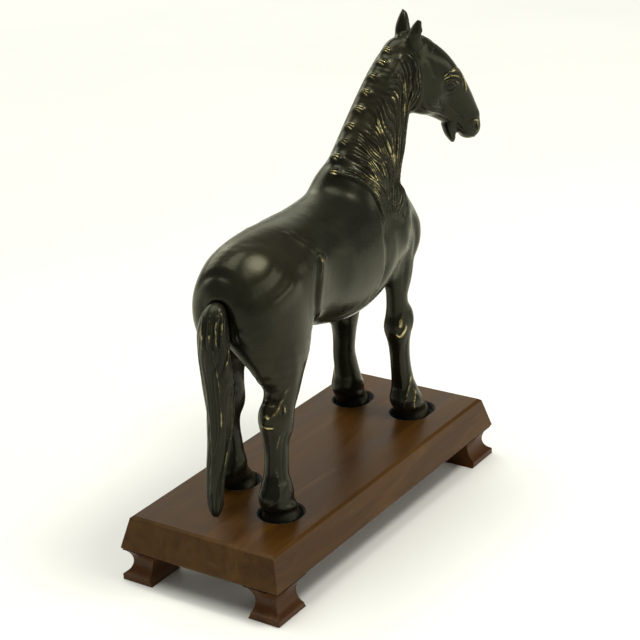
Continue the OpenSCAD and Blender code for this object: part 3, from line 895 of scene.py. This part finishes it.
# marks of the head's right side, mirrored for the left, in the head's plane
FACE = [
    # wrinkles of the brow, bright with handling
    (0.6, 0.75, 1.0, 0.25, (26.5, -8.6, 196.4), (29.5, -8.2, 198.3), (33.5, -6.6, 198),
     (37.6, -5.6, 194.5), (40.2, -5.4, 190.5), (41.1, -5.4, 185)),
    (0.6, 0.675, 1.0, 0.25, (26.8, -9.2, 194.9), (30, -9.0, 196.6), (34, -7.6, 196), (37, -6.4, 192.8),
     (38.8, -6, 189.5)),
    (0.6, 0.6, 1.0, 0.25, (28, -9.4, 193.6), (31, -9.2, 194.9), (34.4, -8.2, 193.9), (36.6, -7, 191.2)),
    (0.6, 0.45, 1.0, 0.25, (31, -8.6, 199.3), (35, -6.2, 199), (38.8, -5.0, 196), (41.4, -4.4, 191.6)),
    (0.35, -0.25, -0.7, 0.25, (27, -9, 195.7), (30, -8.7, 197.5), (34, -7.2, 197), (37.4, -6, 193.6)),
    (0.35, -0.25, -0.7, 0.25, (28, -9.4, 194.3), (31, -9.1, 195.8), (34.4, -7.9, 194.9), (36.9, -6.7, 192)),
    # lids and the corner of the eye
    (0.5, 0.55, 0.25, 0.2, (27, -9.6, 191.6), (29.6, -9.6, 193.2), (32.4, -9.2, 193), (35.2, -8, 190.4)),
    (0.55, 0.5, 0.18, 0.2, (27, -9.8, 191.2), (28.5, -9.8, 188.6), (31, -9.2, 187.4), (34, -8.4, 187.8),
     (35.6, -7.6, 189.6)),
    (0.45, -0.28, -0.8, 0.4, (29.8, -9.6, 190.6), (31.4, -9.4, 191.4), (33, -9, 190.8)),
    (0.6, -0.3, 0, 0.4, (26.4, -9.9, 186.4), (29.5, -9.4, 185.2), (33, -8.4, 185.4)),
    # jaw, cheek and the long groove to the mouth
    (0.8, 0.6, 0.3, 0.25, (14, -8.4, 184), (16.7, -8.2, 180.6), (21.9, -7.8, 177.4), (27.6, -7.4, 174.2),
     (31, -6.6, 171.6)),
    (0.9, -0.5, 0, 0.3, (15.5, -8.6, 186), (19, -8.6, 181), (24, -8.2, 179), (29, -7.4, 176)),
    (1.2, -0.5, 0, 0.4, (24.5, -9.4, 185.5), (27.6, -8.8, 180.5), (28.6, -8, 176.6)),
    (1.0, -0.4, 0, 0.4, (30, -8.4, 181.5), (36, -6.8, 175.5), (41.5, -6.0, 170.5)),
    # nostril and lips
    (0.5, 0.5, 0.75, 0.2, (46.5, -6.4, 168), (49.4, -6.6, 168), (51.2, -5.6, 165), (50.4, -6.2, 162),
     (48, -6.6, 161.6)),
    (0.6, -0.35, 0, 0.3, (43.0, -6.4, 169), (46.0, -6.6, 166.5), (47.0, -6.8, 163)),
    (0.5, -0.6, -0.9, 0.35, (36.7, -6.5, 167.6), (38.8, -6.2, 165.6), (40.6, -6, 163.4)),
    (0.6, 0.35, 0.5, 0.3, (46.2, -6.2, 158.4), (48.6, -5.6, 156.6), (50.8, -4, 156)),
    (0.7, -0.25, 0, 0.4, (34.6, -5.6, 163.5), (36.2, -4.8, 159.8), (37.4, -3.4, 156.8))]


def mark_head(skin):
    for side in (1, -1):
        def at(p):
            return head_point(p[0], p[1] * side, p[2])

        skin.strokes(FACE, at)
        # hair lines behind the cheek and the edge of the ear
        for k in range(4):
            skin.strokes([(0.55, 0.4, 0.45 if k < 2 else 0.2, 0.4, (10.5 - 2.1 * k, -9.6, 205 - k),
                           (11.5 - 1.8 * k, -10.2, 196), (12.0 - 1.6 * k, -9.6, 187))], at)
        skin.strokes([(1.5, -0.35, 0, 0.4, (17, -8.4, 208.5), (20, -8.6, 203), (21.5, -9, 197))], at)
    # forelock, laid forward between the ears
    for k in range(-3, 4):
        points = ((7 + abs(k) * 0.3, k * 0.8, 219.5), (12, k * 1.1, 217.5), (17.5, k * 1.25, 213),
                  (22.5 - abs(k) * 0.8, k * 1.1, 208))
        skin.stroke([head_point(*p) for p in points], 0.6, 0.6, wear=0.12, ends=0.3)


HEAD_SPOTS = ((20, 0, 204, 9, 40), (23, -7, 198, 8, 60), (23, 7, 198, 8, 60), (20, -9, 184, 8, 30),
    (20, 9, 184, 8, 30),
              (38, 0, 190, 7, 20), (0, 0, 213, 8, 40), (13, -9, 204, 8, 60), (20, -9, 199, 7, 50))


def make_horse():
    sculpt_horse()
    # the knots' bodies go into the field, so that they stand off the neck
    for i, (x, y, z) in enumerate(KNOTS):
        r, high = (2.0, 0.95) if i < 7 else (2.9, 1.1)
        blob((x + 0.5, y - 0.2, z - 0.9), (r, r * 1.75, r * high), 2.2, pitch=44 if i < 8 else 60)
    skin = skin_from_field("horse_casting_sculpted")
    z = skin.co[:, 2]
    on_body = np.where((z > 26) & ((z < 150) | (skin.co[:, 0] < 15)), 1.0, 0.0)
    skin.relax(2, 0.5)
    skin.relax(8, 0.6, on_body)
    # smoothed again where forms meet: the withers, the chest, the head and the right thigh's inner edge
    spots = [((23, -3, 151), (15, 28, 10.0), 90), ((80, 0, 118), (20, 34, 24.0), 90)]
    spots += [(head_point(s, l, z), wide, times) for s, l, z, wide, times in HEAD_SPOTS]
    spots += [((-80, -12.5, 95), 6, 25), ((-82, -15, 86), 6, 25), ((-83, -17, 78), 5, 25)]
    for place, wide, times in spots:
        skin.relax(times, 0.6, skin.spot(place, wide))
    z = skin.co[:, 2]
    fine = (z > 155) | ((z > 126) & (skin.co[:, 0] > 15) & (skin.co[:, 1] < 6))
    skin.refine(fine)
    skin.relax(2, 0.5)
    skin.prepare()
    mark_horse(skin)
    skin.relax(1, 0.25)
    return skin


# ------------------------------------------------------------------ materials
class Nodes:
    """Small helper for building a node material."""

    def __init__(self, name):
        self.material = bpy.data.materials.new(name)
        self.material.use_nodes = True
        self.tree = self.material.node_tree
        self.tree.nodes.clear()
        self.shader = self.new("ShaderNodeBsdfPrincipled")
        self.link(self.shader.outputs[0], self.new("ShaderNodeOutputMaterial").inputs["Surface"])
        self.place = self.new("ShaderNodeTexCoord").outputs["Object"]

    def new(self, kind, **settings):
        node = self.tree.nodes.new(kind)
        for key, value in settings.items():
            setattr(node, key, value)
        return node

    def link(self, a, b):
        self.tree.links.new(a, b)

    def feed(self, node, values):
        """Sets or links a node's inputs, named or numbered."""
        for key, value in values.items():
            if isinstance(value, (int, float, tuple)):
                node.inputs[key].default_value = value
            else:
                self.link(value, node.inputs[key])

    def set(self, **values):
        self.feed(self.shader, {key.replace("_", " "): value for key, value in values.items()})

    def maths(self, how, a, b):
        node = self.new("ShaderNodeMath", operation=how)
        self.feed(node, {0: a, 1: b})
        return node.outputs[0]

    def stretch(self, *scale):
        node = self.new("ShaderNodeMapping")
        self.feed(node, {"Scale": scale, "Vector": self.place})
        return node.outputs[0]

    def noise(self, scale, detail, rough=0.55, source=None, warp=0.0):
        node = self.new("ShaderNodeTexNoise")
        self.feed(node, {"Scale": scale, "Detail": detail, "Roughness": rough, "Distortion": warp,
                         "Vector": source or self.place})
        return node.outputs["Fac"]

    def span(self, value, low, high, to_low=0.0, to_high=1.0):
        """The value's smooth way from low to high, as a number from to_low to to_high."""
        node = self.new("ShaderNodeMapRange", interpolation_type="SMOOTHSTEP")
        self.feed(node, {"Value": value, "From Min": low, "From Max": high, "To Min": to_low,
            "To Max": to_high})
        return node.outputs["Result"]

    def mix(self, factor, a, b):
        node = self.new("ShaderNodeMix", data_type="RGBA", blend_type="MIX")
        self.feed(node, {"Factor": factor, 6: a, 7: b})
        return node.outputs[2]

    def mark(self, name):
        return self.new("ShaderNodeAttribute", attribute_name=name).outputs["Fac"]

    def bump(self, height, strength, distance):
        node = self.new("ShaderNodeBump")
        self.feed(node, {"Strength": strength, "Distance": distance, "Height": height})
        self.set(Normal=node.outputs[0])


def bronze(name, marked=True):
    """Dark waxed patina, olive in the hollows and worn to brass on what stands proud."""
    m = Nodes(name)
    cloud = m.noise(38, 5, 0.6, warp=0.4)
    fleck = m.noise(420, 3, 0.6)
    pits = m.noise(1500, 2, 0.5)
    broad = m.noise(12, 3, 0.5)
    base = m.mix(m.span(cloud, 0.38, 0.66), (0.0070, 0.0071, 0.0054, 1), (0.0145, 0.0142, 0.0090, 1))
    base = m.mix(m.span(broad, 0.50, 0.72, 0, 0.55), base, (0.028, 0.020, 0.011, 1))
    base = m.mix(m.span(fleck, 0.60, 0.78, 0, 0.35), base, (0.040, 0.038, 0.024, 1))
    rough = m.span(cloud, 0.3, 0.7, 0.23, 0.34)
    metal, shine = 0.3, 0.25
    if marked:
        wear, dirt_and_shade = m.mark("wear"), m.mark("dirt_and_shade")
        # darker base where the marks say: dark patina in the hollows, and painted shade at the foot of the neck and
        # the inner edge of the right thigh
        base = m.mix(m.maths("MULTIPLY", dirt_and_shade, 0.75), base, (0.012, 0.0125, 0.009, 1))
        broken = m.maths("MULTIPLY", wear, m.span(fleck, 0.30, 0.62, 0.55, 1.15))
        broken = m.maths("MULTIPLY", broken, m.span(m.noise(140, 3), 0.36, 0.60, 0.35, 1.1))
        gold = m.span(broken, 0.20, 0.80)
        warm = m.mix(m.span(m.noise(300, 2), 0.4, 0.6), (0.33, 0.27, 0.11, 1), (0.55, 0.49, 0.25, 1))
        base = m.mix(m.maths("MULTIPLY", gold, 0.92), base, warm)
        rough = m.maths("ADD", rough, m.maths("MULTIPLY", dirt_and_shade, 0.16))
        rough = m.maths("SUBTRACT", rough, m.maths("MULTIPLY", gold, 0.06))
        metal = m.span(gold, 0.0, 1.0, 0.3, 0.95)
        shine = m.span(dirt_and_shade, 0.0, 1.0, 0.25, 0.09)
    m.set(Base_Color=base, Roughness=rough, Metallic=metal, Specular_IOR_Level=shine)
    m.set(Coat_Weight=0.05, Coat_Roughness=0.15, Specular_Tint=(1.0, 1.0, 0.66, 1))
    height = m.maths("ADD", m.maths("MULTIPLY", fleck, 0.6), m.maths("MULTIPLY", pits, 0.25))
    m.bump(m.maths("ADD", height, m.maths("MULTIPLY", cloud, 0.8)), 0.22, 0.0005)
    return m.material


def mahogany(name, dark=0.0):
    """Satin mahogany: long pores and ribbons along X, mottled across the ends."""
    m = Nodes(name)
    ribbon = m.noise(9, 4, 0.55, m.stretch(1, 9, 9), warp=0.8)
    pores = m.noise(130, 3, 0.65, m.stretch(1, 22, 22))
    figure = m.noise(22, 5, 0.6, m.stretch(0.5, 3, 3), warp=1.5)
    mottle = m.noise(60, 6, 0.65, warp=0.5)
    deep = (0.045, 0.0170, 0.0028, 1)
    mid = (0.067, 0.0280, 0.0046, 1)
    pale = (0.102, 0.0470, 0.0090, 1)
    base = m.mix(m.span(ribbon, 0.34, 0.64), deep, mid)
    base = m.mix(m.span(figure, 0.46, 0.72, 0, 0.6), base, pale)
    base = m.mix(m.span(mottle, 0.55, 0.75, 0, 0.35), base, deep)
    base = m.mix(m.span(pores, 0.60, 0.74, 0, 0.6), base, (0.028, 0.010, 0.006, 1))
    if dark:
        base = m.mix(dark, base, (0.055, 0.016, 0.009, 1))
    m.set(Base_Color=base, Roughness=m.span(ribbon, 0.3, 0.7, 0.27, 0.40))
    m.set(Coat_Weight=0.05, Coat_Roughness=0.2, Specular_IOR_Level=0.16, Specular_Tint=(1.0, 0.86, 0.62, 1))
    m.bump(m.maths("ADD", m.maths("MULTIPLY", pores, -0.8), m.maths("MULTIPLY", figure, 0.5)), 0.12, 0.0006)
    return m.material


def felt(name):
    """Black wool felt."""
    m = Nodes(name)
    fuzz = m.noise(900, 4, 0.7)
    base = m.mix(m.span(fuzz, 0.35, 0.7), (0.004, 0.004, 0.004, 1), (0.016, 0.015, 0.014, 1))
    m.set(Base_Color=base, Roughness=0.95, Sheen_Weight=0.2, Sheen_Roughness=0.5, Specular_IOR_Level=0.15)
    m.bump(fuzz, 0.8, 0.0008)
    return m.material


def paper(name):
    """Matt pale paper."""
    m = Nodes(name)
    soft = m.noise(3, 3, 0.5)
    base = m.mix(m.span(soft, 0.35, 0.65), (0.88, 0.88, 0.885, 1), (0.90, 0.90, 0.905, 1))
    m.set(Base_Color=base, Roughness=0.9, Specular_IOR_Level=0.1)
    return m.material


# ------------------------------------------------------------------ the tail
# edges of the tail's locks: lift of one side, drop of the other, radius, wear, ends, points
LOCKS = [
    (0.7, 0.6, 1.1, 0.3, 0.15, (-96.5, -8.6, 109), (-98.0, -8.6, 103), (-98.3, -9.6, 96.4),
     (-98.2, -10.8, 85.9),
     (-97.8, -11.1, 74), (-98, -10, 62), (-98.5, -8.5, 50)),
    (0.7, 0.6, 1.1, 0.28, 0.2, (-90.5, -13.0, 109), (-93, -14.2, 101), (-95.5, -13.6, 95),
     (-96.3, -13.0, 91),
     (-95.2, -14.6, 87.5)),
    (0.6, 0.65, 1.1, 0.34, 0.15, (-91, -15, 68), (-93, -13.6, 60), (-94, -12.2, 54.5), (-95.6, -10.0, 43.6),
     (-97.7, -7.8, 27.1), (-99.5, -6.6, 18)),
    (0.5, 0.5, 1.0, 0.24, 0.2, (-97.0, 0.5, 104), (-98.2, -1, 92), (-98.4, -2.6, 78), (-98.2, -3.6, 64),
     (-98.4, -3.6, 50), (-100.2, -3.8, 34), (-101, -3.8, 22)),
    (0.6, 0.6, 1.1, 0.2, 0.2, (-90, 4.4, 102), (-91, 5, 90), (-90, 4.6, 74), (-91.5, 3, 58),
     (-94, 0.8, 40))]


def make_tail():
    """Rings round the tail's line, their outline drawn in and out by strands and locks."""
    st = catmull(TAIL, 34)
    sides = 176
    side = np.array([0, 1.0, 0])
    rings = []
    size = len(st)
    for i, s in enumerate(st):
        along = st[min(i + 1, size - 1), :3] - st[max(i - 1, 0), :3]
        along /= np.linalg.norm(along)
        across = side - (side @ along) * along
        across /= np.linalg.norm(across)
        out = np.cross(along, across)
        t = i / (size - 1)
        a = 2 * math.pi * np.arange(sides) / sides
        w, d = max(s[3], 0.3), max(s[4], 0.3)
        # strands wander slowly round the tail; deeper parts between the locks
        turn = a + 0.5 * math.sin(t * 5.0) + 0.22 * np.sin(t * 17 + a * 2)
        strand = np.abs(np.sin(turn * 11 + 0.7 * np.sin(t * 23 + a * 3)))
        lock = np.abs(np.sin(turn * 2.5 + 1.1)) ** 0.6
        grow = smooth_step(t, 0.16, 0.34) * (0.55 + 0.45 * smooth_step(-t, -1.0, -0.9))
        h = grow * (0.26 * (strand ** 0.8 - 0.6) + 0.85 * (lock - 0.72))
        scale = 1 + h / math.sqrt(w * d)
        rings.append(s[:3] + across * (w * np.cos(a) * scale)[:, None] + out * (d * np.sin(a) * scale)[:,
            None])
    co = np.concatenate(rings + [st[:1, :3], st[-1:, :3]])
    faces = []
    for i in range(size - 1):
        for k in range(sides):
            a, b = i * sides + k, i * sides + (k + 1) % sides
            faces.append((a, a + sides, b + sides, b))
    first, last = size * sides, size * sides + 1
    for k in range(sides):
        faces.append((first, k, (k + 1) % sides))
        faces.append((last, (size - 1) * sides + (k + 1) % sides, (size - 1) * sides + k))
    skin = Skin("tail_sculpted", co, faces)
    far = skin.co[:, 0].argmin()
    if skin.normals()[far, 0] > 0:
        skin.mesh.flip_normals()
        skin.read()
    skin.prepare()
    for up, down, radius, wear, ends, *points in LOCKS:
        skin.fold(points, up, down, radius, wear, ends)
    # the strands that leave the dock, bright ones and then the dark gaps between them
    for x, y, z in ((-96.6, -6.6, 110.5), (-95.8, -9.6, 111.5), (-93.8, -11.6, 112.5),
        (-96.3, -3.2, 110.5)):
        skin.strokes([(0.8, 0.5, 0.4, 0.4, (x + 4.4, y + 1.2, z + 8.2), (x + 2.2, y + 0.6, z + 5),
            (x, y, z),
                       (x - 0.8, y - 0.6, z - 7))])
    for x, y, z in ((-96.4, -8.2, 111), (-95, -10.8, 112), (-96.6, -4.8, 110.5)):
        skin.strokes([(0.6, -0.5, -0.8, 0.35, (x + 2.8, y + 0.6, z + 6), (x, y, z),
            (x - 0.8, y - 0.6, z - 7))])
    # split tip
    skin.strokes([(0.7, -0.9, -0.8, 0.15, (-101, -4.4, 26), (-101.6, -4.2, 18), (-100, -3.8, 11))])
    skin.relax(1, 0.3)
    return skin


# ------------------------------------------------------------------ the founder's plug
def make_plug(material):
    """A shallow turned disc with a filed edge, its face following the belly."""
    low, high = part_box("belly_plug")
    centre = (low + high) / 2
    radius = (high.x - low.x) / 2
    bm = bmesh.new()
    # share of the radius, and height in mm
    rings = [(0.0, 0.0), (0.25, 0.02), (0.5, 0.08), (0.75, 0.2), (0.9, 0.3), (0.96, 0.36), (1.0, 0.62),
        (1.0, 2.0),
             (0.98, 3.4), (0.5, 3.5), (0.0, 3.5)]
    sides = 96
    rows = []

    def vertex(dx, dy, h):
        """The belly falls forward and rounds up to the sides, and the face with it."""
        follow = max(1 - h / 3.4, 0)
        return bm.verts.new((centre.x + dx, centre.y + dy,
            low.z + h / 1000 + follow * (15.5 * dy ** 2 - 0.18 * dx)))

    for r, h in rings:
        turns = [2 * math.pi * k / sides for k in range(sides if r else 1)]
        rows.append([vertex(radius * r * math.cos(a), radius * r * math.sin(a), h) for a in turns])
    for a, b in zip(rows, rows[1:]):
        for k in range(sides):
            p, q = a[k % len(a)], a[(k + 1) % len(a)]
            s, t = b[k % len(b)], b[(k + 1) % len(b)]
            bm.faces.new([v for i, v in enumerate((p, s, t, q)) if v not in (p, s, t, q)[:i]])
    bmesh.ops.recalc_face_normals(bm, faces=bm.faces)
    mesh = mesh_from(bm, "plug")
    mesh.shade_smooth()
    put("founders_plug", mesh, material, "horse", "belly_plug", "bronze_plug")


# ------------------------------------------------------------------ the stand
def softened(node, name, material, width, slot):
    """The CAD node's own shape with its edges eased, as sandpaper leaves them."""
    bm = bmesh.new()
    bm.from_mesh(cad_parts[node].data)
    bmesh.ops.remove_doubles(bm, verts=bm.verts, dist=1e-6)
    bmesh.ops.dissolve_limit(bm, angle_limit=math.radians(1.0), verts=bm.verts, edges=bm.edges)
    mesh = mesh_from(bm, name)
    o = put(name, mesh, material, "stand", node, slot)
    bevel = o.modifiers.new("eased", "BEVEL")
    bevel.width = width
    bevel.segments = 3
    bevel.limit_method = "ANGLE"
    bevel.angle_limit = math.radians(28)
    bevel.harden_normals = False
    mesh.shade_smooth()
    smooth = o.modifiers.new("weights", "WEIGHTED_NORMAL")
    smooth.keep_sharp = False


# ------------------------------------------------------------------ build
bronze_dark = bronze("bronze_patina")
bronze_tail = bronze("bronze_patina_tail")
bronze_plain = bronze("bronze_plug_patina", marked=False)
wood_top = mahogany("mahogany_board")
wood_feet = mahogany("mahogany_feet", dark=0.35)
wood_dowel = mahogany("dowel_hardwood", dark=0.1)
felt_black = felt("felt_black")

make_horse().finish("horse_statue", bronze_dark, "horse", "horse_casting", "bronze")
make_tail().finish("tail_casting", bronze_tail, "horse", "tail", "bronze_tail")
make_plug(bronze_plain)

softened("top_board", "stand_board", wood_top, 0.00045, "board_wood")
for corner in ("front_left", "front_right", "rear_left", "rear_right"):
    softened("foot_" + corner, "bracket_foot_" + corner, wood_feet, 0.0004, "foot_wood")
    coat(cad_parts["socket_felt_" + corner].data, felt_black)
coat(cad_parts["foot_dowels"].data, wood_dowel)

# ------------------------------------------------------------------ floor, light, camera
FLOOR_WIDTH, FLOOR_CELLS = 30, 40


def floor():
    """A wide flat pale sheet under the piece."""
    bm = bmesh.new()
    steps = [FLOOR_WIDTH * i / FLOOR_CELLS - FLOOR_WIDTH / 2 for i in range(FLOOR_CELLS + 1)]
    rows = [[bm.verts.new((x, y, cad_low.z - 0.0001)) for x in steps] for y in steps]
    for a, b in zip(rows, rows[1:]):
        for j in range(FLOOR_CELLS):
            bm.faces.new((a[j], a[j + 1], b[j + 1], b[j]))
    mesh = mesh_from(bm, "floor")
    coat(mesh, paper("paper_sheet"))
    show("floor", mesh)


def aim(o, direction):
    """Turns a lamp or the camera to look along a direction."""
    o.rotation_mode = "QUATERNION"
    o.rotation_quaternion = Vector(direction).to_track_quat("-Z", "Y")


def lamp(name, place, target, size, power, colour):
    data = bpy.data.lights.new(name, "AREA")
    data.shape = "RECTANGLE"
    data.size, data.size_y = size
    data.energy = power
    data.color = colour
    o = show(name, data)
    o.location = place
    aim(o, Vector(target) - Vector(place))


floor()
centre = Vector((0.0, 0.0, 0.12))
tint = (1.0, 1.0, 0.90)
sky = bpy.data.lights.new("overhead", "SUN")
sky.energy = 1.75
sky.angle = math.radians(44)
sky.color = tint
aim(show("overhead", sky), (0.05, -0.25, -1.0))
lamp("far_side", (1.1, 3.6, 1.6), centre, (3.4, 1.8), 38, tint)
lamp("near_side", (1.1, -3.0, 0.97), centre, (3.0, 1.1), 30, tint)
lamp("behind", (2.9, 2.0, 1.35), centre, (2.6, 1.1), 9, tint)
lamp("key", (0.12, -0.49, 1.10), (-0.07, -0.02, 0.17), (0.29, 0.29), 5.8, (1.0, 0.97, 0.86))

world = bpy.data.worlds.new("studio")
bpy.context.scene.world = world
world.use_nodes = True
nodes = world.node_tree.nodes
glow = nodes["Background"]
glow.inputs[0].default_value = (0.95, 0.97, 0.88, 1)
glow.inputs[1].default_value = 0.28
# what the camera sees behind the floor is as pale as the floor
seen = nodes.new("ShaderNodeBackground")
seen.inputs[0].default_value = (0.81, 0.815, 0.77, 1)
either = nodes.new("ShaderNodeMixShader")
sources = (nodes.new("ShaderNodeLightPath").outputs["Is Camera Ray"], glow.outputs[0], seen.outputs[0])
for source, socket in zip(sources, either.inputs):
    world.node_tree.links.new(source, socket)
world.node_tree.links.new(either.outputs[0], nodes["World Output"].inputs[0])

view = bpy.context.scene.view_settings
view.view_transform = "Standard"
view.look = "None"
view.exposure = 0.0

# the camera stands behind the horse's right quarter, a little above, and leans a few degrees
azimuth, elevation, lean = (math.radians(v) for v in (-55.821, 21.701, -2.61))
ahead = Vector((-math.sin(azimuth) * math.cos(elevation), math.cos(azimuth) * math.cos(elevation),
    -math.sin(elevation)))
camera_data = bpy.data.cameras.new("camera")
camera_data.sensor_width = 36.0
camera_data.lens = 98.36
camera_data.clip_start, camera_data.clip_end = 0.02, 50.0
camera = show("camera", camera_data)
camera.location = (-0.720996, -0.496175, 0.464412)
aim(camera, ahead)
camera.rotation_quaternion = camera.rotation_quaternion @ Quaternion((0, 0, 1), lean)
bpy.context.scene.camera = camera
